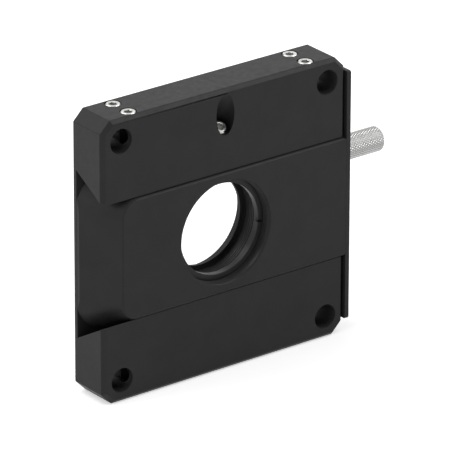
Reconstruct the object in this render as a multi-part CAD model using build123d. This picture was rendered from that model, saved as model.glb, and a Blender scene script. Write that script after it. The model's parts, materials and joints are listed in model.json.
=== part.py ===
from build123d import *
from math import cos, radians, sin, tan
import os

os.makedirs("parts", exist_ok=True)

# Cage filter holder: a square aluminium plate for four parallel cage rods, with a dovetail
# channel across its front. A drafted carrier slides in the channel from the right and holds a
# round filter between its seat and a threaded retaining ring. An end plate and a knurled knob
# on the carrier's right end are the handle. An inclined screw with a soft tip locks the carrier,
# and two small set screws beside each rod bore hold the rod.
#
# Millimetres. +X to the right, +Y along the optical axis away from the viewer, +Z up.
# The origin is on the cage axis, in the plane of the seat that the filter rests on. The channel
# and all that it carries are centred a little below that axis.

# Cage plate
plate_thickness = 12.0
plate_corner_chamfer = 2.8
plate_edge_chamfer = 0.9

# Cage rods and their bores
rod_spacing = 60.0
rod_margin = 5.5
rod_bore_diameter = 6.05
rod_bore_chamfer = 0.1

# Dovetail channel across the front of the plate
channel_mouth = 30.6
channel_drop = 0.2
channel_depth = 10.05
flank_angle = 30.0
window_diameter = 25.4

# Carrier in the channel
carrier_proud = 0.45
carrier_gap_behind = 0.05
carrier_gap_above = 0.2
carrier_gap_below = 0.05
carrier_left_inset = 5.5
carrier_corner_radius = 4.5
carrier_edge_break = 0.25

# Filter seat and retaining ring in the carrier
filter_bore_diameter = 25.8
filter_bore_chamfer = 0.3
seat_lip_thickness = 0.8
seat_lip_bore = 22.9
ring_clearance = 0.08
ring_thickness = 1.6
ring_wall = 1.47
ring_inset = 2.6
ring_slot_width = 0.6
ring_slot_depth = 0.6
ring_slot_turn = -5.0

# End plate on the carrier
end_plate_gap = 0.1
end_plate_thickness = 1.2
end_plate_inset = 3.75
end_plate_corner_chamfer = 0.3
handle_forward = 1.0
end_screw_drop = 9.5
end_screw_diameter = 2.0
end_screw_head_diameter = 3.9
end_screw_length = 6.0
end_screw_socket = 1.3
end_screw_socket_depth = 0.6

# Knob on the end plate
knob_diameter = 6.2
knob_length = 12.7
knob_chamfer = 0.6
knob_rise = 9.7
knob_stud_diameter = 3.0
knob_stud_chamfer = 0.3
knob_stud_depth = 8.0
knob_stud_grip = 7.0

# Set screws, shared by the rod clamps and the carrier lock
set_screw_chamfer = 0.3
set_screw_socket_depth = 1.4
screw_clearance = 0.05
socket_clearance = 0.02

# Rod clamp screws
rod_screw_diameter = 3.9
rod_screw_socket = 1.8
rod_screw_length = 3.2
rod_screw_recess = 0.05
rod_screw_offset = 4.25
rod_screw_pitch = 5.9
rod_screw_past_bore = 2.75

# Carrier lock
lock_inset = 6.2
lock_mouth_diameter = 5.2
lock_mouth_depth = 5.0
lock_screw_diameter = 3.5
lock_screw_socket = 1.6
lock_screw_inset = 3.9
lock_tip_diameter = 2.0
lock_tip_length = 1.6
lock_tip_gap = 0.1

# Tapped hole for a post in the bottom edge
post_hole_diameter = 3.3
post_hole_depth = 6.4
post_hole_chamfer = 0.4

# Drill points
drill_point_angle = 118.0

# Sizes and places that follow from these
plate_side = rod_spacing + 2 * rod_margin
carrier_thickness = channel_depth + carrier_proud - carrier_gap_behind
front_y = carrier_proud + seat_lip_thickness - carrier_thickness
back_y = front_y + plate_thickness
middle_y = (front_y + back_y) / 2
floor_y = front_y + channel_depth
carrier_front_y = front_y - carrier_proud
carrier_back_y = carrier_front_y + carrier_thickness
carrier_middle_y = (carrier_front_y + carrier_back_y) / 2
handle_y = middle_y - handle_forward
half_side = plate_side / 2
half_spacing = rod_spacing / 2
lock_height = half_side - lock_inset
flank_slope = tan(radians(flank_angle))
carrier_z = -channel_drop
channel_top = carrier_z + channel_mouth / 2
channel_bottom = carrier_z - channel_mouth / 2
carrier_top = channel_top - carrier_gap_above
carrier_bottom = channel_bottom + carrier_gap_below
carrier_left = -half_side + carrier_left_inset
end_plate_x = half_side + end_plate_gap
knob_x = end_plate_x + end_plate_thickness
knob_z = carrier_z + knob_rise
end_screw_z = carrier_z - end_screw_drop
knob_stud_radius = knob_stud_diameter / 2
end_screw_radius = end_screw_diameter / 2

# The lock's axis runs down and back, square to the upper flank of the channel
lock_direction = Vector(0, sin(radians(flank_angle)), -cos(radians(flank_angle)))
lock_reach = (lock_height - channel_top) * cos(radians(flank_angle))
lock_screw_length = (
    lock_reach
    + carrier_gap_above * cos(radians(flank_angle))
    - lock_screw_inset
    - lock_tip_length
    - lock_tip_gap
)


def facing(y, z=0):
    """A sketch plane across the light path at y, centred at z, with its normal to the viewer."""
    return Plane(origin=(0, y, z), x_dir=(1, 0, 0), z_dir=(0, -1, 0))


def hole(start, direction, radius, depth):
    """A round tool from start along direction, with a drill point at its end."""
    plane = Plane(origin=start, z_dir=direction)
    point = radius / tan(radians(drill_point_angle / 2))
    tool = extrude(plane * Circle(radius), amount=depth)
    tip = Location(plane.offset(depth + point / 2)) * Cone(radius, 0, point)
    return tool + tip


def countersink(centre, direction, radius, size):
    """A 45 degree chamfer tool for the mouth of a hole whose axis runs into the part."""
    plane = Plane(origin=centre, z_dir=direction)
    return Location(plane.offset(size / 2)) * Cone(radius + size, radius, size)


def hexagon(across_flats):
    """A hexagon sketch by the distance across its flats."""
    return RegularPolygon(across_flats / 2, 6, major_radius=False)


def cage_corners():
    """The four rod positions as (side name, level name, x sign, z sign)."""
    for side, sx in (("left", -1), ("right", 1)):
        for level, sz in (("upper", 1), ("lower", -1)):
            yield side, level, sx, sz


def channel():
    """The dovetail channel as a tool along X, open at the front."""
    lead = plate_edge_chamfer
    near = lead * flank_slope
    far = channel_depth * flank_slope
    section = Plane.YZ * Polygon(
        (front_y - lead, channel_bottom + near),
        (front_y - lead, channel_top - near),
        (floor_y, channel_top + far),
        (floor_y, channel_bottom - far),
        align=None,
    )
    return extrude(section, amount=plate_side, both=True)


def frame_plate():
    """The square plate with its channel, bores and screw holes."""
    plate = extrude(facing(back_y) * Rectangle(plate_side, plate_side), amount=plate_thickness)
    plate = chamfer(plate.edges().filter_by(Axis.Y), plate_corner_chamfer)
    by_depth = plate.faces().sort_by(Axis.Y)
    plate = chamfer(by_depth[0].edges() + by_depth[-1].edges(), plate_edge_chamfer)
    plate -= channel()
    plate -= extrude(facing(back_y) * Circle(window_diameter / 2), amount=plate_thickness)
    bore = rod_bore_diameter / 2
    screw_hole = rod_screw_diameter / 2 + screw_clearance
    for side, level, sx, sz in cage_corners():
        x = sx * half_spacing
        z = sz * half_spacing
        plate -= extrude(facing(back_y) * Pos(x, z) * Circle(bore), amount=plate_thickness)
        plate -= countersink((x, front_y, z), (0, 1, 0), bore, rod_bore_chamfer)
        plate -= countersink((x, back_y, z), (0, -1, 0), bore, rod_bore_chamfer)
        for row in (-1, 1):
            mouth = rod_screw_mouth(sx, sz, row)
            depth = half_side - half_spacing + rod_screw_past_bore
            plate -= hole(mouth, (0, 0, -sz), screw_hole, depth)
    lock_mouth = Vector(0, front_y, lock_height)
    outside = lock_mouth - lock_direction * lock_mouth_diameter
    plate -= extrude(
        Plane(origin=outside, z_dir=lock_direction) * Circle(lock_mouth_diameter / 2),
        amount=lock_mouth_diameter + lock_mouth_depth,
    )
    plate -= extrude(
        Plane(origin=lock_mouth, z_dir=lock_direction)
        * Circle(lock_screw_diameter / 2 + screw_clearance),
        amount=lock_reach + screw_clearance,
    )
    post_mouth = (0, middle_y, -half_side)
    plate -= hole(post_mouth, (0, 0, 1), post_hole_diameter / 2, post_hole_depth)
    plate -= countersink(post_mouth, (0, 0, 1), post_hole_diameter / 2, post_hole_chamfer)
    return plate


def rod_screw_mouth(sx, sz, row):
    """Where a rod clamp screw's axis crosses the top or bottom face of the plate."""
    x = sx * (half_spacing - rod_screw_offset)
    return (x, middle_y + row * rod_screw_pitch / 2, sz * half_side)


def drafted(front, angle):
    """The carrier's depth of material behind a front sketch, spreading at an angle."""
    return extrude(front, amount=carrier_thickness, dir=(0, 1, 0), taper=-angle)


def filter_carrier():
    """The drafted slide with its threaded filter bore and seat."""
    width = end_plate_x - carrier_left
    height = carrier_top - carrier_bottom - 2 * carrier_proud * flank_slope
    margin = carrier_thickness
    sketch = Pos((carrier_left + end_plate_x + margin) / 2, (carrier_top + carrier_bottom) / 2)
    outline = Rectangle(width + margin, height)
    outline = fillet(outline.vertices().group_by(Axis.X)[0], carrier_corner_radius)
    front = facing(carrier_front_y) * sketch
    slide = drafted(front * outline, flank_angle)
    slide &= drafted(front * offset(outline, -carrier_edge_break), (90 + flank_angle) / 2)
    slide &= Pos(end_plate_gap / 2, carrier_middle_y, 0) * Box(
        plate_side + end_plate_gap, 2 * carrier_thickness, 2 * plate_side
    )
    bore = filter_bore_diameter / 2
    lip_bore = seat_lip_bore / 2
    back = facing(carrier_back_y, carrier_z)
    slide -= extrude(facing(0, carrier_z) * Circle(bore), amount=carrier_thickness)
    slide -= extrude(back * Circle(lip_bore), amount=carrier_thickness)
    slide -= countersink((0, carrier_front_y, carrier_z), (0, 1, 0), bore, filter_bore_chamfer)
    end = end_plate_x
    slide -= hole(
        (end, handle_y, knob_z),
        (-1, 0, 0),
        knob_stud_radius + screw_clearance,
        knob_stud_depth + screw_clearance,
    )
    slide -= hole(
        (end, handle_y, end_screw_z),
        (-1, 0, 0),
        end_screw_radius + socket_clearance,
        end_screw_length,
    )
    return slide


def retaining_ring():
    """The thin threaded ring with two spanner slots on its front face."""
    outer = filter_bore_diameter / 2 - ring_clearance
    start = carrier_front_y + ring_inset
    ring = extrude(
        facing(start + ring_thickness, carrier_z) * (Circle(outer) - Circle(outer - ring_wall)),
        amount=ring_thickness,
    )
    slot = Rot(0, 0, ring_slot_turn) * Rectangle(filter_bore_diameter, ring_slot_width)
    slots = extrude(facing(start + ring_slot_depth, carrier_z) * slot, amount=ring_slot_depth)
    return ring - slots


def end_plate():
    """The thin plate across the carrier's right end, which stops it against the frame."""
    thickness = end_plate_thickness
    depth = plate_thickness + carrier_proud
    plate = Pos(end_plate_x + thickness / 2, back_y - depth / 2, carrier_z) * Box(
        thickness, depth, plate_side - 2 * end_plate_inset
    )
    plate = chamfer(plate.edges().filter_by(Axis.X), end_plate_corner_chamfer)
    face = end_plate_x + thickness
    stud = Plane(origin=(face, handle_y, knob_z), z_dir=(-1, 0, 0))
    plate -= extrude(stud * Circle(knob_stud_radius + screw_clearance), amount=thickness)
    screw = Plane(origin=(face, handle_y, end_screw_z), z_dir=(-1, 0, 0))
    plate -= extrude(screw * Circle(end_screw_radius + socket_clearance), amount=thickness)
    head = (end_screw_head_diameter - end_screw_diameter) / 2
    plate -= countersink(
        (face, handle_y, end_screw_z),
        (-1, 0, 0),
        end_screw_radius + socket_clearance,
        head,
    )
    return plate


def end_plate_screw():
    """The flat-head screw that holds the end plate to the carrier."""
    face = end_plate_x + end_plate_thickness
    plane = Plane(origin=(face, handle_y, end_screw_z), z_dir=(-1, 0, 0))
    head = (end_screw_head_diameter - end_screw_diameter) / 2
    screw = extrude(plane * Circle(end_screw_radius), amount=end_screw_length)
    screw += Location(plane.offset(head / 2)) * Cone(
        end_screw_head_diameter / 2, end_screw_radius, head
    )
    return screw - extrude(plane * hexagon(end_screw_socket), amount=end_screw_socket_depth)


def thumb_knob():
    """The round knob, bored for its stud."""
    plane = Plane(origin=(knob_x, handle_y, knob_z), z_dir=(1, 0, 0))
    knob = extrude(plane * Circle(knob_diameter / 2), amount=knob_length)
    knob = chamfer(knob.edges().filter_by(GeomType.CIRCLE), knob_chamfer)
    return knob - extrude(
        plane * Circle(knob_stud_radius + socket_clearance), amount=knob_stud_grip
    )


def knob_stud():
    """The threaded stud that joins the knob to the carrier through the end plate."""
    start = knob_x + knob_stud_grip
    plane = Plane(origin=(start, handle_y, knob_z), z_dir=(-1, 0, 0))
    length = knob_stud_grip + end_plate_thickness + knob_stud_depth
    stud = extrude(plane * Circle(knob_stud_radius), amount=length)
    return chamfer(stud.edges().filter_by(GeomType.CIRCLE), knob_stud_chamfer)


def set_screw(plane, diameter, socket, length):
    """A socket set screw whose head face lies in plane, running along the plane's normal."""
    screw = extrude(plane * Circle(diameter / 2), amount=length)
    head_rim = screw.edges().filter_by(GeomType.CIRCLE).sort_by_distance(plane.origin)[0]
    screw = chamfer(head_rim, set_screw_chamfer)
    return screw - extrude(plane * hexagon(socket), amount=set_screw_socket_depth)


def rod_screws():
    """The two set screws beside each rod bore, by node name."""
    screws = {}
    for side, level, sx, sz in cage_corners():
        for place, row in (("front", -1), ("rear", 1)):
            x, y, z = rod_screw_mouth(sx, sz, row)
            plane = Plane(origin=(x, y, z - sz * rod_screw_recess), z_dir=(0, 0, -sz))
            screws[f"rod_screw_{level}_{side}_{place}"] = set_screw(
                plane, rod_screw_diameter, rod_screw_socket, rod_screw_length
            )
    return screws


def lock_plane(travel):
    """The plane square to the lock's axis at a distance down it from the plate's front."""
    origin = Vector(0, front_y, lock_height) + lock_direction * travel
    return Plane(origin=origin, z_dir=lock_direction)


def lock_screw():
    """The set screw that drives the soft tip against the carrier."""
    return set_screw(
        lock_plane(lock_screw_inset), lock_screw_diameter, lock_screw_socket, lock_screw_length
    )


def lock_tip():
    """The soft round tip between the lock screw and the carrier's upper flank."""
    start = lock_plane(lock_screw_inset + lock_screw_length)
    return extrude(start * Circle(lock_tip_diameter / 2), amount=lock_tip_length)


nodes = {
    "frame_plate": frame_plate(),
    "filter_carrier": filter_carrier(),
    "retaining_ring": retaining_ring(),
    "end_plate": end_plate(),
    "end_plate_screw": end_plate_screw(),
    "thumb_knob": thumb_knob(),
    "knob_stud": knob_stud(),
    "lock_screw": lock_screw(),
    "lock_tip": lock_tip(),
    **rod_screws(),
}

for name, shape in nodes.items():
    export_step(shape, f"parts/{name}.step")
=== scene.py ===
# %% [markdown]
# # Dressing a cage filter holder
# The real object is a small optics part. A square plate of black anodised aluminium slides onto
# four steel rods, and a dovetail carrier slides across it with a round filter in its middle.
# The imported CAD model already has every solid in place, in metres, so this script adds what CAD
# leaves out: rounded edges, threads, a knurl, finishes, light and a camera. The model could be
# imported as plain meshes, but then nothing would move with its joints.

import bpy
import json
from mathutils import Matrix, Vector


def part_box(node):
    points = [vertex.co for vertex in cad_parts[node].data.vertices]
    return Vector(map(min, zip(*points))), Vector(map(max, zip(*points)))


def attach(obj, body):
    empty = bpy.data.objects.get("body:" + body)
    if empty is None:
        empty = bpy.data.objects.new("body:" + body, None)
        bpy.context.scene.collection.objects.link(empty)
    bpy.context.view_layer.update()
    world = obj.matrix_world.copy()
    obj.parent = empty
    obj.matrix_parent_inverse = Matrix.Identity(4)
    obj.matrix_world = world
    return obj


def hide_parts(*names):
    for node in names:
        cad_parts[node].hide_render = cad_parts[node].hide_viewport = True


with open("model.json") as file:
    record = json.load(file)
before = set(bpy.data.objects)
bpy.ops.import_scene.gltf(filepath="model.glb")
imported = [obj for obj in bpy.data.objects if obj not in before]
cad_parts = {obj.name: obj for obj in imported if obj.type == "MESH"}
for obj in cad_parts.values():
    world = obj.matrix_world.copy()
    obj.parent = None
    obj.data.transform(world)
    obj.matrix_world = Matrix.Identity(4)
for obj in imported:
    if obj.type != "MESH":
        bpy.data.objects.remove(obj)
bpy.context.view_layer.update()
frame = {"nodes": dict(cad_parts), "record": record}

# %% [markdown]
# ## Sizes
# Machinists think in millimetres and Blender works in metres, so one factor turns one into the
# other. The places and sizes that the finer pieces need come from the boxes of the CAD nodes, so
# that a piece stays in its place if the model changes. Typing them in again would work only once.

# %% Units and shared sizes
import json
from math import cos, pi, radians, sin

import bmesh
import bpy
from mathutils import Matrix, Vector

mm = 0.001
plate_low, plate_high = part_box("frame_plate")
floor_z = plate_low.z
carrier_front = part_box("filter_carrier")[0].y
ring_low, ring_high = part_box("retaining_ring")
bore_axis = (ring_low + ring_high) / 2
ring_radius = (ring_high.x - ring_low.x) / 2
knob_low, knob_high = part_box("thumb_knob")
plate_width = round((plate_high.x - plate_low.x) / mm, 2)
print("plate", plate_width, "mm wide, floor at", round(floor_z / mm, 2), "mm")

# %% [markdown]
# ## Adding nodes
# Finishes, threads and the knurl are all made of nodes, and each node takes several lines to set
# up. One helper adds a node with its inputs by name. Another adds Math nodes, so that a formula
# is written as a nest of calls.

# %% Helpers that add nodes
def add(tree, kind, settings=None, **inputs):
    """A node of that kind, with its inputs linked or set by name."""
    node = tree.nodes.new(kind)
    for title, value in (settings or {}).items():
        setattr(node, title, value)
    for title, value in inputs.items():
        socket = node.inputs[title.replace("_", " ")]
        if isinstance(value, bpy.types.NodeSocket):
            tree.links.new(value, socket)
        else:
            socket.default_value = value
    return node


def sums(tree):
    """A function that adds one Math node and gives its result."""

    def calc(operation, *values):
        node = tree.nodes.new("ShaderNodeMath")
        node.operation = operation
        for socket, value in zip(node.inputs, values):
            if isinstance(value, bpy.types.NodeSocket):
                tree.links.new(value, socket)
            else:
                socket.default_value = value
        return node.outputs["Value"]

    return calc


print("node helpers ready")

# %% [markdown]
# ## Uneven surfaces
# No real finish is one flat colour. Each material here gets its unevenness from noise over
# Object coordinates, which stay with a piece when it moves. A painted picture would need the
# pieces unwrapped, and noise in all three directions fits any shape.

# %% Helpers for materials
def new_material(name):
    """A node material with its tree and its Principled shader."""
    material = bpy.data.materials.new(name)
    material.use_nodes = True
    return material, material.node_tree, material.node_tree.nodes["Principled BSDF"]


def object_place(tree):
    """The point on the object that is being coloured."""
    return tree.nodes.new("ShaderNodeTexCoord").outputs["Object"]


def noise(tree, scale, detail=3.0):
    """Noise over Object coordinates, with a scale in waves per metre."""
    place = object_place(tree)
    texture = add(tree, "ShaderNodeTexNoise", Vector=place, Scale=scale, Detail=detail)
    return texture.outputs["Fac"]


def between(tree, value, low, high, start=0.3, end=0.7):
    """A number from low to high as value goes from start to end. Noise mostly fills 0.3 to 0.7."""
    steps = {"From_Min": start, "From_Max": end, "To_Min": low, "To_Max": high}
    return add(tree, "ShaderNodeMapRange", Value=value, **steps).outputs["Result"]


def colours(tree, factor, first, second):
    """A colour that goes from the first to the second."""
    settings = {"data_type": "RGBA"}
    mix = add(tree, "ShaderNodeMix", settings, Factor=factor, A=first, B=second)
    return mix.outputs["Result"]


def grain(tree, shader, height, strength, depth):
    """Bumps on the shader's surface, as deep as depth in metres."""
    bump = add(tree, "ShaderNodeBump", Strength=strength, Distance=depth, Height=height)
    tree.links.new(bump.outputs["Normal"], shader.inputs["Normal"])


print("material helpers ready")

# %% [markdown]
# ## Black anodised aluminium
# The plate, the carrier and the end plate are blasted with fine beads and then anodised, which
# leaves a dark, even satin skin. A glossy black would mirror the studio and look like plastic.
# The skin is a Principled shader with a near-black colour and a middling roughness. A wide soft
# noise makes patches a shade lighter or duller, and a fine one makes the blasted grain. Blasting
# hardly reaches into a bore, so bored and turned walls get a smoother variant of the same skin.
# Their grey is lighter too: that is painted light, which brightens walls that lie in the shade of
# the bores.

# %% Make the anodised skins
def anodised(name, grey, dull, shiny):
    """Black anodised aluminium of about this grey, whose roughness goes from shiny to dull."""
    material, tree, shader = new_material(name)
    slightly_blue = (1, 1, 1.04)
    darker = (*(0.92 * grey * part for part in slightly_blue), 1)
    lighter = (*(1.08 * grey * part for part in slightly_blue), 1)
    patches = between(tree, noise(tree, 160), 0, 1)
    tree.links.new(colours(tree, patches, darker, lighter), shader.inputs["Base Color"])
    tree.links.new(between(tree, noise(tree, 700), shiny, dull), shader.inputs["Roughness"])
    shader.inputs["Specular IOR Level"].default_value = 0.12
    grain(tree, shader, noise(tree, 9000, 1), 0.25, 0.01 * mm)
    return material


blasted = anodised("black anodised, bead blasted", 0.021, 0.50, 0.40)
# Painted light: the bored and turned skins have lighter greys than the blasted one.
bored_with_painted_light = anodised("black anodised, bored", 0.026, 0.42, 0.32)
machined_with_painted_light = anodised("black anodised, fine turned", 0.030, 0.36, 0.28)
print("skins:", blasted.name, "|", bored_with_painted_light.name, "|", machined_with_painted_light.name)

# %% [markdown]
# ## Bare metal
# The set screws and the knob are stainless steel, and the end plate's screw is blackened.
# A metal has no colour of its own under its shine, so Metallic is 1 and Base Color is the tint
# of the shine. Small rolled parts are never mirror smooth: the noise blurs them unevenly.

# %% Make the metals
def bare_metal(name, tint, shiny, dull):
    """A bare or blackened metal with uneven shine."""
    material, tree, shader = new_material(name)
    stained = (*(0.9 * part for part in tint), 1)
    stains = between(tree, noise(tree, 500), 0, 1)
    tree.links.new(colours(tree, stains, stained, (*tint, 1)), shader.inputs["Base Color"])
    tree.links.new(between(tree, noise(tree, 2500), shiny, dull), shader.inputs["Roughness"])
    shader.inputs["Metallic"].default_value = 1.0
    grain(tree, shader, noise(tree, 7000, 2), 0.12, 0.01 * mm)
    return material


steel = bare_metal("stainless steel", (0.56, 0.56, 0.54), 0.26, 0.38)
knob_steel = bare_metal("knurled stainless steel", (0.58, 0.58, 0.57), 0.24, 0.34)
black_steel = bare_metal("black oxide steel", (0.05, 0.05, 0.052), 0.30, 0.42)
print("metals:", steel.name, "|", knob_steel.name, "|", black_steel.name)

# %% [markdown]
# ## Nylon
# The lock's soft tip is natural nylon, a milky plastic that can't mark the carrier. It is cut
# from rod, so it is dull and a little cloudy. It could let light into it, but the tip is 2 mm
# wide and nearly hidden, so a plain cloudy colour is enough.

# %% Make the nylon
nylon, nylon_tree, nylon_shader = new_material("natural nylon")
cloudy = between(nylon_tree, noise(nylon_tree, 900), 0, 1)
milky = colours(nylon_tree, cloudy, (0.80, 0.79, 0.73, 1), (0.86, 0.85, 0.80, 1))
nylon_tree.links.new(milky, nylon_shader.inputs["Base Color"])
nylon_shader.inputs["Roughness"].default_value = 0.5
grain(nylon_tree, nylon_shader, noise(nylon_tree, 5000), 0.2, 0.01 * mm)
print("materials in all:", len(bpy.data.materials))

# %% [markdown]
# ## From CAD triangles to a mesh that can be worked
# A CAD node arrives as loose triangles: each one has its own three corners. An edge can only be
# rounded where two faces share it, so a copy has its corners merged and its flat areas joined
# into whole faces.

# %% Helpers that make objects
def merged_copy(node):
    """A copy of a CAD node's mesh with shared corners and whole flat faces."""
    mesh = frame["nodes"][node].data.copy()
    work = bmesh.new()
    work.from_mesh(mesh)
    bmesh.ops.remove_doubles(work, verts=work.verts, dist=0.0005 * mm)
    bmesh.ops.dissolve_limit(
        work, angle_limit=radians(0.5), verts=work.verts, edges=work.edges
    )
    work.to_mesh(mesh)
    work.free()
    return mesh


def new_object(name, mesh, material):
    """An object at the origin that shows mesh in one material."""
    thing = bpy.data.objects.new(name, mesh)
    bpy.context.scene.collection.objects.link(thing)
    mesh.materials.clear()
    mesh.materials.append(material)
    return thing


def applied(thing):
    """The object with its modifiers turned into plain mesh."""
    graph = bpy.context.evaluated_depsgraph_get()
    result = bpy.data.meshes.new_from_object(thing.evaluated_get(graph))
    thing.modifiers.clear()
    thing.data = result
    return thing


print("object helpers ready")

# %% [markdown]
# ## Broken edges
# A sharp CAD edge gives a render away: a real milled edge is broken and catches a thin line of
# light. A Bevel modifier rounds each edge by its weight, which is set for every edge sharper
# than 25 degrees, so the fine facets of the bores are left to smooth shading. Rounding every
# edge alike would be simpler, but tumbled outer edges are rounder than cut inner ones. A
# Weighted Normal modifier after it keeps the large faces flat to the light.

# %% Helpers that round edges and attach a piece
def weigh_edges(mesh, share):
    """Mark each edge sharper than 25 degrees with its share of the rounding."""
    work = bmesh.new()
    work.from_mesh(mesh)
    weight = work.edges.layers.float.new("bevel_weight_edge")
    for edge in work.edges:
        if len(edge.link_faces) == 2 and edge.calc_face_angle() > radians(25):
            edge[weight] = share(edge)
    work.to_mesh(mesh)
    work.free()


def rounded(name, node, material, width, segments=2, share=lambda edge: 1.0):
    """A copy of a node whose sharp edges are rounded over their share of width metres."""
    thing = new_object(name, merged_copy(node), material)
    weigh_edges(thing.data, share)
    thing.data.shade_smooth()
    bevel = thing.modifiers.new("edges", "BEVEL")
    bevel.width = width
    bevel.segments = segments
    bevel.limit_method = "WEIGHT"
    bevel.use_clamp_overlap = False
    flatten = thing.modifiers.new("flat faces", "WEIGHTED_NORMAL")
    flatten.mode = "FACE_AREA"
    return applied(thing)


def hand_in(thing, body, slot, *nodes):
    """The piece rides on its body and hides the CAD nodes it stands for; slot is not used."""
    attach(thing, body)
    if nodes:
        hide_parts(*nodes)
    print(thing.name, "on", body + ":", len(thing.data.polygons), "faces")


# %% [markdown]
# ## The frame plate
# The plate is sawn from bar and milled, and then tumbled with stones before its channel and
# bores are cut. So the edges around its outside are rounder than the rest. An edge counts as an
# outer one when both its ends lie near the plate's outline, and very short ones keep the small
# share, because a full rounding would eat them up.

# %% Round the plate
outline_band = 1.0 * mm
shortest_outer_edge = 0.8 * mm
inner_share = 0.33


def tumbled(edge):
    """A full share for the long edges around the plate's outside, and a third for the rest."""
    ends = [corner.co for corner in edge.verts]
    on_side = all(abs(end.x) > plate_high.x - outline_band for end in ends)
    on_top = all(abs(end.z) > plate_high.z - outline_band for end in ends)
    outer = (on_side or on_top) and edge.calc_length() > shortest_outer_edge
    return 1.0 if outer else inner_share


plate = rounded("plate", "frame_plate", blasted, 0.15 * mm, 3, tumbled)
print("plate rounded:", len(plate.data.polygons), "faces")

# %% [markdown]
# ## The rod bores
# The rods have to slide through their bores without play, so the bores are reamed, which leaves
# them smoother than the blasted faces. Their walls are given another material, whose lighter grey
# is painted light for the shade inside the bores. They are found by the mounts of the record,
# which say where each bore stands and how wide it is.

# %% Finish the rod bores
def line_hole(thing, centre, radius, low_y, high_y, material):
    """Give the faces inside a round hole along Y a finish of their own."""
    if material.name not in thing.data.materials:
        thing.data.materials.append(material)
    finish = thing.data.materials.find(material.name)
    for face in thing.data.polygons:
        inside = (face.center - centre).xz.length < radius
        if inside and low_y < face.center.y < high_y:
            face.material_index = finish


mouth_depth = 0.1 * mm
wall_slack = 0.075 * mm
plate_depths = plate_low.y + mouth_depth, plate_high.y - mouth_depth
rod_bores = [m for m in frame["record"]["mounts"] if m["name"].startswith("rod_bore")]
# Painted light: the bore walls take the lighter fine-turned skin.
for mount in rod_bores:
    reach = mount["dims"]["r_mm"] * mm + wall_slack
    line_hole(plate, Vector(mount["pos_m"]), reach, *plate_depths, machined_with_painted_light)
hand_in(plate, "frame", "black_anodised", "frame_plate")
print("rod bores finished:", len(rod_bores))

# %% [markdown]
# ## The carrier
# The carrier is a flat dovetail slide with a bored hole for the filter. In the photograph the
# line above it is clearly darker than the one below, because the lock's tip presses it down. The
# solid's clearance is too small to show that, so the copy's upper flank is lowered by a fifth of
# a millimetre, for looks only. Every vertex that stands higher than flank_start belongs to it.

# %% Round the carrier
flank_start = 14.6 * mm
flank_drop = 0.19 * mm
bore_slack = 0.1 * mm
bore_depths = carrier_front + 0.4 * mm, 0.01 * mm

carrier = rounded("carrier", "filter_carrier", blasted, 0.06 * mm)
# Painted light: the filter bore's walls take the lighter bored skin.
line_hole(carrier, bore_axis, ring_radius + bore_slack, *bore_depths, bored_with_painted_light)
for vertex in carrier.data.vertices:
    if vertex.co.z > flank_start:
        vertex.co.z -= flank_drop
hand_in(carrier, "carrier", "black_anodised", "filter_carrier")

# %% [markdown]
# ## The end plate
# The end plate is a thin sheet across the carrier's right end, which the knob stands on. A sheet
# is cut out and its edges are broken with a file, so they are a little rounder than the milled
# ones of the carrier. Its shape is right already, so the rounding is all it needs.

# %% Round the end plate
end_cover = rounded("end_plate_cover", "end_plate", blasted, 0.10 * mm)
hand_in(end_cover, "carrier", "black_anodised", "end_plate")

# %% [markdown]
# ## Formulas in Geometry Nodes
# Threads and knurls follow a rule, so Geometry Nodes draws them. They could be modelled by hand,
# but a tree with named inputs can be run again for each size. One helper makes such a tree, one
# ends it, and one runs it on an empty object and keeps the plain mesh.

# %% Helpers for Geometry Nodes
def new_tree(name, inputs):
    """A Geometry Nodes tree with these float inputs and a material input."""
    tree = bpy.data.node_groups.new(name, "GeometryNodeTree")
    for title, value in inputs.items():
        socket = tree.interface.new_socket(title, in_out="INPUT", socket_type="NodeSocketFloat")
        socket.default_value = value
    tree.interface.new_socket("Material", in_out="INPUT", socket_type="NodeSocketMaterial")
    tree.interface.new_socket("Mesh", in_out="OUTPUT", socket_type="NodeSocketGeometry")
    return tree, tree.nodes.new("NodeGroupInput").outputs


def close_tree(tree, mesh, inputs):
    """The tree's end: real geometry, its material, and the group's output."""
    real = add(tree, "GeometryNodeRealizeInstances", Geometry=mesh).outputs["Geometry"]
    dressed = add(tree, "GeometryNodeSetMaterial", Geometry=real, Material=inputs["Material"])
    output = tree.nodes.new("NodeGroupOutput")
    tree.links.new(dressed.outputs["Geometry"], output.inputs["Mesh"])
    print(tree.name + ":", len(tree.nodes), "nodes")


def run_tree(tree, name, material, place, **values):
    """A new object whose plain mesh is what the tree makes from these values."""
    thing = new_object(name, bpy.data.meshes.new(name), material)
    modifier = thing.modifiers.new("build", "NODES")
    modifier.node_group = tree
    values["Material"] = material
    for socket in tree.interface.items_tree:
        if socket.in_out == "INPUT" and socket.name.replace(" ", "_") in values:
            modifier[socket.identifier] = values[socket.name.replace(" ", "_")]
    applied(thing)
    thing.data.transform(place)
    thing.data.set_sharp_from_angle(angle=radians(40))
    return thing


print("Geometry Nodes helpers ready")

# %% [markdown]
# ## The bar that screws and knobs are turned from
# A set screw and a knob are both a round bar with chamfered ends and a pattern cut into its side.
# So both trees start from a cylinder with a dense side, and both move each point of the side in
# or out along its radius. The helper below measures a point's angle and height, and ends with
# the chamfer: near an end, no point may stand further out than the chamfer's slope allows.

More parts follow.
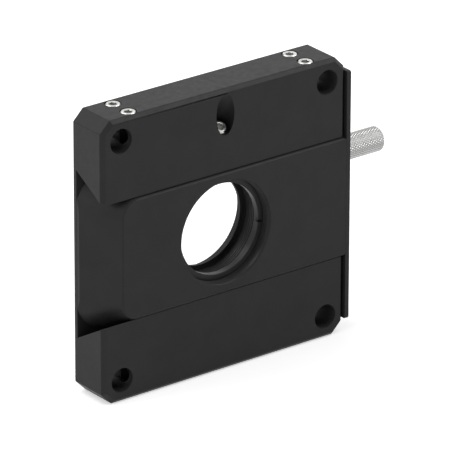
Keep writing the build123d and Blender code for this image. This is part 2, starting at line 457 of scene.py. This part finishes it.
# %% Helper for a patterned bar
def bar(tree, inputs, around, along, pattern):
    """A cylinder whose side is cut by pattern(calc, turn, height), a depth below the radius."""
    calc = sums(tree)
    radius, length = inputs["Radius"], inputs["Length"]
    grid = {"Vertices": around, "Side_Segments": along}
    blank = add(tree, "GeometryNodeMeshCylinder", Radius=radius, Depth=length, **grid)
    spot = tree.nodes.new("GeometryNodeInputPosition")
    xyz = add(tree, "ShaderNodeSeparateXYZ", Vector=spot.outputs["Position"])
    x, y, z = (xyz.outputs[axis] for axis in "XYZ")

    turn = calc("DIVIDE", calc("ARCTAN2", y, x), 2 * pi)
    cut = calc("SUBTRACT", radius, pattern(calc, turn, z))
    to_end = calc("SUBTRACT", calc("MULTIPLY", length, 0.5), calc("ABSOLUTE", z))
    allowed = calc("ADD", calc("SUBTRACT", radius, inputs["Chamfer"]), to_end)
    now = calc("SQRT", calc("ADD", calc("MULTIPLY", x, x), calc("MULTIPLY", y, y)))
    scale = calc("DIVIDE", calc("MINIMUM", cut, allowed), now)

    new_x, new_y = calc("MULTIPLY", x, scale), calc("MULTIPLY", y, scale)
    moved = add(tree, "ShaderNodeCombineXYZ", X=new_x, Y=new_y, Z=z).outputs["Vector"]
    mesh = blank.outputs["Mesh"]
    return add(tree, "GeometryNodeSetPosition", Geometry=mesh, Position=moved).outputs["Geometry"]


print("bar helper ready")

# %% [markdown]
# ## Set screws
# Nine small set screws clamp the rods and lock the carrier. Each has a thread along its whole
# length, a chamfer at both ends and a hexagon socket. A thread could be a stack of rings, but a
# real one climbs. Its depth is a triangle wave of height minus turn, which is a right-handed
# helix. The wave is stretched and cut off, which leaves flats on the crests and in the roots.

# %% Start the set screw tree
screw_sizes = {
    "Radius": 1.95 * mm,
    "Length": 3.2 * mm,
    "Chamfer": 0.3 * mm,
    "Pitch": 0.8 * mm,
    "Thread Depth": 0.38 * mm,
    "Socket": 1.8 * mm,
    "Socket Depth": 1.4 * mm,
}
screw_tree, screw_in = new_tree("set screw", screw_sizes)


def thread(calc, turn, height):
    """Depth of a thread's groove: a triangle wave along a right-handed helix."""
    wave = calc("FRACT", calc("SUBTRACT", calc("DIVIDE", height, screw_in["Pitch"]), turn))
    triangle = calc("ABSOLUTE", calc("SUBTRACT", calc("MULTIPLY", wave, 2), 1))
    stretched = calc("SUBTRACT", calc("MULTIPLY", triangle, 1.3), 0.15)
    with_flats = calc("MAXIMUM", calc("MINIMUM", stretched, 1), 0)
    return calc("MULTIPLY", with_flats, screw_in["Thread Depth"])


threaded_bar = bar(screw_tree, screw_in, 72, 60, thread)
print("screw inputs:", ", ".join(screw_sizes))

# %% [markdown]
# The hexagon socket is broached into a drilled hole, whose cone stays as a lead-in at the mouth.
# A Boolean cuts both at once, a six-sided prism and a cone that widens towards the head. Moving
# the bar's points couldn't do that, because its head has no points to move. The cone's sizes
# are shares of the distance from the hexagon's middle to its corners.

# %% Cut the socket
lead_in_width, lead_in_depth, lead_in_sink = 1.35, 0.9, 0.7


def raised(tree, mesh, height):
    """The mesh moved up along Z."""
    shift = add(tree, "ShaderNodeCombineXYZ", Z=height).outputs["Vector"]
    moved = add(tree, "GeometryNodeTransform", Geometry=mesh, Translation=shift)
    return moved.outputs["Geometry"]


calc = sums(screw_tree)
head_z = calc("MULTIPLY", screw_in["Length"], 0.5)
corner_radius = calc("DIVIDE", screw_in["Socket"], 3**0.5)
prism = add(
    screw_tree,
    "GeometryNodeMeshCylinder",
    Vertices=6,
    Radius=corner_radius,
    Depth=calc("MULTIPLY", screw_in["Socket Depth"], 2),
)
lead_in = add(
    screw_tree,
    "GeometryNodeMeshCone",
    Vertices=48,
    Radius_Top=calc("MULTIPLY", corner_radius, lead_in_width),
    Radius_Bottom=0.0,
    Depth=calc("MULTIPLY", corner_radius, lead_in_depth),
)
lead_in_z = calc("SUBTRACT", head_z, calc("MULTIPLY", corner_radius, lead_in_sink))
cut_socket = add(
    screw_tree,
    "GeometryNodeMeshBoolean",
    {"operation": "DIFFERENCE", "solver": "EXACT"},
    Mesh_1=threaded_bar,
    Mesh_2=raised(screw_tree, prism.outputs["Mesh"], head_z),
)
lead_in_mesh = raised(screw_tree, lead_in.outputs["Mesh"], lead_in_z)
screw_tree.links.new(lead_in_mesh, cut_socket.inputs["Mesh 2"])
close_tree(screw_tree, cut_socket.outputs["Mesh"], screw_in)

# %% [markdown]
# ## The rod screws
# The eight rod screws stand upright, the upper ones with their sockets up and the lower ones
# down. Each is made once around the origin and then moved into its place by its mesh, so that
# its object stays at the origin as a CAD node's does. Real screws stop at any angle when they
# are tightened, so each one is turned a little differently.

# %% Place the rod screws
def standing(centre, towards, turned):
    """The matrix that puts a piece made along +Z at centre, with its head facing towards."""
    lean = Vector((0, 0, 1)).rotation_difference(Vector(towards)).to_matrix().to_4x4()
    return Matrix.Translation(centre) @ lean @ Matrix.Rotation(radians(turned), 4, "Z")


first_turn, next_turn = 17, 23  # degrees
rod_screws = sorted(name for name in frame["nodes"] if name.startswith("rod_screw"))
for number, name in enumerate(rod_screws):
    low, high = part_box(name)
    up = 1 if "upper" in name else -1
    place = standing((low + high) / 2, (0, 0, up), first_turn + next_turn * number)
    sizes = {"Radius": (high.x - low.x) / 2, "Length": high.z - low.z}
    screw = run_tree(screw_tree, "threaded_" + name, steel, place, **sizes)
    hand_in(screw, name, "stainless", name)

# %% [markdown]
# ## The lock screw and its soft tip
# The lock screw leans 30 degrees and drives a nylon tip against the carrier. Its length is
# measured along its own axis, because the box of a leaning screw is longer than the screw. The
# tip is pressed into its end, so both are in one body and move together.

# %% Place the lock screw and round its tip
lock_lean = radians(30)
lock_up = Vector((0, -sin(lock_lean), cos(lock_lean)))
along = [corner.co @ lock_up for corner in frame["nodes"]["lock_screw"].data.vertices]
low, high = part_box("lock_screw")
lock_screw = run_tree(
    screw_tree,
    "threaded_lock_screw",
    steel,
    standing((low + high) / 2, lock_up, 12),
    Radius=(high.x - low.x) / 2,
    Length=max(along) - min(along),
    Socket=1.6 * mm,
)
hand_in(lock_screw, "lock", "stainless", "lock_screw")
soft_tip = rounded("soft_tip", "lock_tip", nylon, 0.15 * mm, 3)
hand_in(soft_tip, "lock", "nylon", "lock_tip")

# %% [markdown]
# ## The knurled knob
# A knurl is pressed in by two toothed wheels whose grooves cross, which leaves small pyramids.
# It could be a bump in the material, but the outline of a knurled knob is rough too, so the
# pattern is real. The same bar is cut by two triangle waves that climb in opposite ways, and
# the deeper of the two wins at each point. The side's rows are spaced so that both sets of
# grooves run from corner to corner of its faces, which keeps the ridges straight.

# %% Build the knurled knob
knurl_starts = 30
knurl_depth = 0.20 * mm
crest_flat = 0.12
samples = 10
steepness = 1.6
knob_radius = (knob_high.z - knob_low.z) / 2
knob_length = knob_high.x - knob_low.x
face_width = 2 * pi * knob_radius / (knurl_starts * samples)
rows = round(knob_length / (face_width * steepness))

knob_sizes = {
    "Radius": knob_radius,
    "Length": knob_length,
    "Chamfer": 0.6 * mm,
    "Starts": float(knurl_starts),
    "Climb": rows / samples,
    "Knurl Depth": knurl_depth,
}
knob_tree, knob_in = new_tree("knurled knob", knob_sizes)


def knurl(calc, turn, height):
    """Depth of a diamond knurl: the deeper of two crossing sets of grooves."""
    around = calc("MULTIPLY", turn, knob_in["Starts"])
    climb = calc("MULTIPLY", calc("DIVIDE", height, knob_in["Length"]), knob_in["Climb"])
    depth = 0.0
    for operation in ("ADD", "SUBTRACT"):
        wave = calc("FRACT", calc(operation, around, climb))
        rise = calc("ABSOLUTE", calc("SUBTRACT", calc("MULTIPLY", wave, 2), 1))
        depth = calc("MAXIMUM", depth, calc("SUBTRACT", 1, rise))
    worn = calc("MAXIMUM", calc("SUBTRACT", depth, crest_flat), 0)
    return calc("MULTIPLY", worn, knob_in["Knurl Depth"])


knurled_bar = bar(knob_tree, knob_in, knurl_starts * samples, rows, knurl)
close_tree(knob_tree, knurled_bar, knob_in)

# %% [markdown]
# The bar is made along Z, and the knob's axis runs along X. So the bar is laid over to face the
# right, at the middle of its CAD node.

# %% Place the knob
knob_centre = (knob_low + knob_high) / 2
knob_place = standing(knob_centre, (1, 0, 0), 0)
knob = run_tree(knob_tree, "knurled_knob", knob_steel, knob_place)
hand_in(knob, "knob", "knob_steel", "thumb_knob")

# %% [markdown]
# Hardly any light gets out of the grooves of a knurl, so painted shade makes the tint of the steel
# darker with depth. The depth could be stored on the mesh, but the shader can work it out from
# Object coordinates: it is how far a point lies from the knob's axis, less than the full radius.

# %% Paint shade into the grooves of the knurl
tree = knob_steel.node_tree
calc = sums(tree)
point = add(tree, "ShaderNodeSeparateXYZ", Vector=object_place(tree))
across = calc("SUBTRACT", point.outputs["Y"], knob_centre.y)
above = calc("SUBTRACT", point.outputs["Z"], knob_centre.z)
squares = calc("ADD", calc("MULTIPLY", across, across), calc("MULTIPLY", above, above))
groove_bottom = knob_radius - knurl_depth
height = calc("DIVIDE", calc("SUBTRACT", calc("SQRT", squares), groove_bottom), knurl_depth)
tint = tree.nodes["Principled BSDF"].inputs["Base Color"]
unshaded_tint = tint.links[0].from_socket
# Painted shade: the tint goes to dark grey at the bottom of the grooves.
tree.links.new(colours(tree, height, (0.16, 0.16, 0.16, 1), unshaded_tint), tint)
print("grooves darken over", round(knurl_depth / mm, 2), "mm")

# %% [markdown]
# ## The thread inside the filter bore
# The retaining ring screws into a fine thread that runs from the carrier's front down to the
# filter seat. Cutting it into the wall would need a Boolean on the whole carrier. Instead a thin
# ridge is laid on the wall: a triangle swept along a helix. Curve to Mesh does that with a
# Spiral and a three-sided circle, and the triangle's back lies inside the wall.

# %% Build the thread ridge tree
ridge_sizes = {
    "Crest Radius": 12.75 * mm,
    "Side": 0.5 * mm,
    "Pitch": 0.635 * mm,
    "Length": 8.0 * mm,
}
ridge_tree, ridge_in = new_tree("thread ridge", ridge_sizes)
calc = sums(ridge_tree)
corner = calc("DIVIDE", ridge_in["Side"], 3**0.5)
helix_radius = calc("ADD", ridge_in["Crest Radius"], corner)
helix = add(
    ridge_tree,
    "GeometryNodeCurveSpiral",
    Resolution=96,
    Rotations=calc("DIVIDE", ridge_in["Length"], ridge_in["Pitch"]),
    Start_Radius=helix_radius,
    End_Radius=helix_radius,
    Height=ridge_in["Length"],
).outputs["Curve"]
level = add(ridge_tree, "GeometryNodeSetCurveNormal", {"mode": "Z_UP"}, Curve=helix)
profile = add(ridge_tree, "GeometryNodeCurvePrimitiveCircle", Resolution=3, Radius=corner)
ridge = add(
    ridge_tree,
    "GeometryNodeCurveToMesh",
    Curve=level.outputs["Curve"],
    Profile_Curve=profile.outputs["Curve"],
    Fill_Caps=True,
)
close_tree(ridge_tree, ridge.outputs["Mesh"], ridge_in)

# %% [markdown]
# The helix climbs along Z and is laid over to run into the bore. It starts a little behind the
# carrier's front, where the real thread has a lead-in, and ends a little before the seat. Its
# crests stand just inside the ring's outer radius, so they show as faint lines.

# %% Lay the thread into the bore
thread_start = 0.6 * mm
thread_gaps = 0.9 * mm
crest_height = 0.04 * mm
into_bore = Matrix.Rotation(radians(-90), 4, "X")
bore_mouth = Matrix.Translation((0, carrier_front + thread_start, bore_axis.z))
# Painted light: the ridge takes the lighter fine-turned skin of the bore.
bore_thread = run_tree(
    ridge_tree,
    "filter_bore_thread",
    machined_with_painted_light,
    bore_mouth @ into_bore,
    Crest_Radius=ring_radius - crest_height,
    Length=-carrier_front - thread_gaps,
)
hand_in(bore_thread, "carrier", "black_anodised")
crest = min((corner.co - bore_axis).xz.length for corner in bore_thread.data.vertices)
print("bore thread reaches in to", round(crest / mm, 2), "mm from its axis")

# %% [markdown]
# ## The retaining ring
# The ring is turned, so it is smoother than the blasted parts and shows a brighter inner wall; its
# lighter grey is painted light for the shade in the bore.
# Its copy is made a little narrower, to clear the thread ridges, and keeps its two slots. Its
# back stays a hair off the filter seat when the ring is screwed in all the way.

# %% Round and narrow the ring
rim_width = 0.2 * mm
thread_clearance = 0.12 * mm
seat_clearance = 0.03 * mm

# Painted light: the ring takes the lighter fine-turned skin.
ring = rounded("slotted_ring", "retaining_ring", machined_with_painted_light, 0.05 * mm)
for vertex in ring.data.vertices:
    outward = Vector((vertex.co.x - bore_axis.x, 0, vertex.co.z - bore_axis.z))
    if outward.length > ring_radius - rim_width:
        vertex.co -= outward.normalized() * thread_clearance
    if vertex.co.y > ring_high.y - 0.01 * mm:
        vertex.co.y -= seat_clearance
hand_in(ring, "ring", "black_anodised", "retaining_ring")

# %% [markdown]
# ## Small fasteners left as they are
# The end plate's flat screw and the knob's stud have the right shape already. The screw gets
# rounded edges, because its head shows, and the stud only a finish, because the knob hides it.

# %% Finish the small fasteners
flat_screw = rounded("flat_screw", "end_plate_screw", black_steel, 0.05 * mm)
hand_in(flat_screw, "carrier", "black_steel", "end_plate_screw")
stud = frame["nodes"]["knob_stud"]
stud.data.materials.clear()
stud.data.materials.append(steel)
print("stud keeps its CAD mesh")

# %% [markdown]
# ## Floor and background
# The photograph has a plain white background. The floor is a wide pale disc under the plate. To
# the camera it gives off a little light as well, so that it reads as white, while the object
# still darkens it where it stands. Far from the object, where the lamps don't reach, it gives
# off more. More lamp light would whiten it too, but would bleach the object. A ray counts as
# looking straight at something when it comes from the camera, a mirror or glass.

# %% Lay the floor
def straight_look(tree):
    """1 for camera, mirror and glass rays, and 0 for light that a surface scatters."""
    rays = tree.nodes.new("ShaderNodeLightPath").outputs
    calc = sums(tree)
    seen = calc("MAXIMUM", rays["Is Camera Ray"], rays["Is Glossy Ray"])
    return calc("MAXIMUM", seen, rays["Is Transmission Ray"])


floor_radius = 4.0
floor_mesh = bpy.data.meshes.new("floor")
work = bmesh.new()
ground = Matrix.Translation((0, 0, floor_z))
bmesh.ops.create_circle(work, cap_ends=True, segments=96, radius=floor_radius, matrix=ground)
work.to_mesh(floor_mesh)
work.free()

paper, paper_tree, paper_shader = new_material("pale paper")
paper_shader.inputs["Base Color"].default_value = (0.92, 0.92, 0.92, 1)
paper_shader.inputs["Roughness"].default_value = 0.9
paper_shader.inputs["Specular IOR Level"].default_value = 0.1
paper_shader.inputs["Emission Color"].default_value = (1, 1, 1, 1)
settings = {"operation": "LENGTH"}
away = add(paper_tree, "ShaderNodeVectorMath", settings, Vector=object_place(paper_tree))
glow = between(paper_tree, away.outputs["Value"], 0.42, 1.0, start=0.2, end=1.0)
seen_glow = sums(paper_tree)("MULTIPLY", straight_look(paper_tree), glow)
paper_tree.links.new(seen_glow, paper_shader.inputs["Emission Strength"])
floor = new_object("floor", floor_mesh, paper)
print("floor laid at", round(floor_z / mm, 2), "mm")

# %% [markdown]
# ## The world
# A white studio lights an object from all sides. The world is plain white where a ray looks
# straight at it, so no horizon shows behind the floor. As a source of light it is much dimmer,
# because an even light alone leaves a black object without shape.

# %% Make the world
world = bpy.data.worlds.new("studio")
bpy.context.scene.world = world
world.use_nodes = True
world_tree = world.node_tree
fill = 0.25
calc = sums(world_tree)
strength = calc("ADD", calc("MULTIPLY", straight_look(world_tree), 1 - fill), fill)
backdrop = world_tree.nodes["Background"]
backdrop.inputs["Color"].default_value = (1, 1, 1, 1)
world_tree.links.new(strength, backdrop.inputs["Strength"])
print("world lights at", fill, "of its white")

# %% [markdown]
# ## Lamps
# The top of the object is the brightest side, then its left, then its front, so a wide soft lamp
# hangs above it to the left and a weaker one stands beside it. A small one above the front is
# there for its reflection in the long top chamfer, and one behind for its gleam on the top.
# A single hard lamp would be simpler, but would throw a black shadow on the white floor.

# %% Hang the lamps
def softbox(name, place, width, height, power):
    """A rectangular area lamp at place that faces the object."""
    lamp = bpy.data.lights.new(name, "AREA")
    lamp.shape = "RECTANGLE"
    lamp.size, lamp.size_y = width, height
    lamp.energy = power
    holder = bpy.data.objects.new(name, lamp)
    bpy.context.scene.collection.objects.link(holder)
    holder.location = place
    holder.rotation_euler = (-Vector(place)).to_track_quat("-Z", "Y").to_euler()


softbox("above left", (-0.5, 0.45, 0.85), 0.9, 0.8, 7.6)
softbox("left side", (-1.0, -0.2, 0.5), 0.6, 0.6, 2.8)
softbox("above front", (0.56, -0.39, 0.73), 0.5, 0.5, 4.7)
softbox("behind", (0.75, 1.0, 0.55), 0.6, 0.5, 0.5)
print("lamps:", len(bpy.data.lights))

# %% [markdown]
# ## Camera
# The camera stands where the photographer's did. Its place and direction were worked out from
# the plate's corners and the four rod bores, whose real spacing is known. It is far away with a
# long lens, so the sides of the plate look almost parallel.

# %% Set up the camera
sight = Vector((0.55918696, 0.72936476, -0.39412814))
right = Vector((0.79413774, -0.60773432, 0.00205891))
turned = Matrix((right, right.cross(sight), -sight)).transposed().to_4x4()
view = bpy.data.cameras.new("photograph")
view.sensor_width = 36
view.lens = 481.53
view.clip_end = 10
camera = bpy.data.objects.new("photograph", view)
bpy.context.scene.collection.objects.link(camera)
camera.matrix_world = Matrix.Translation((-0.78268, -1.02978, 0.55317)) @ turned
bpy.context.scene.camera = camera
bpy.context.scene.view_settings.view_transform = "Standard"
print("camera at", [round(part, 3) for part in camera.location])
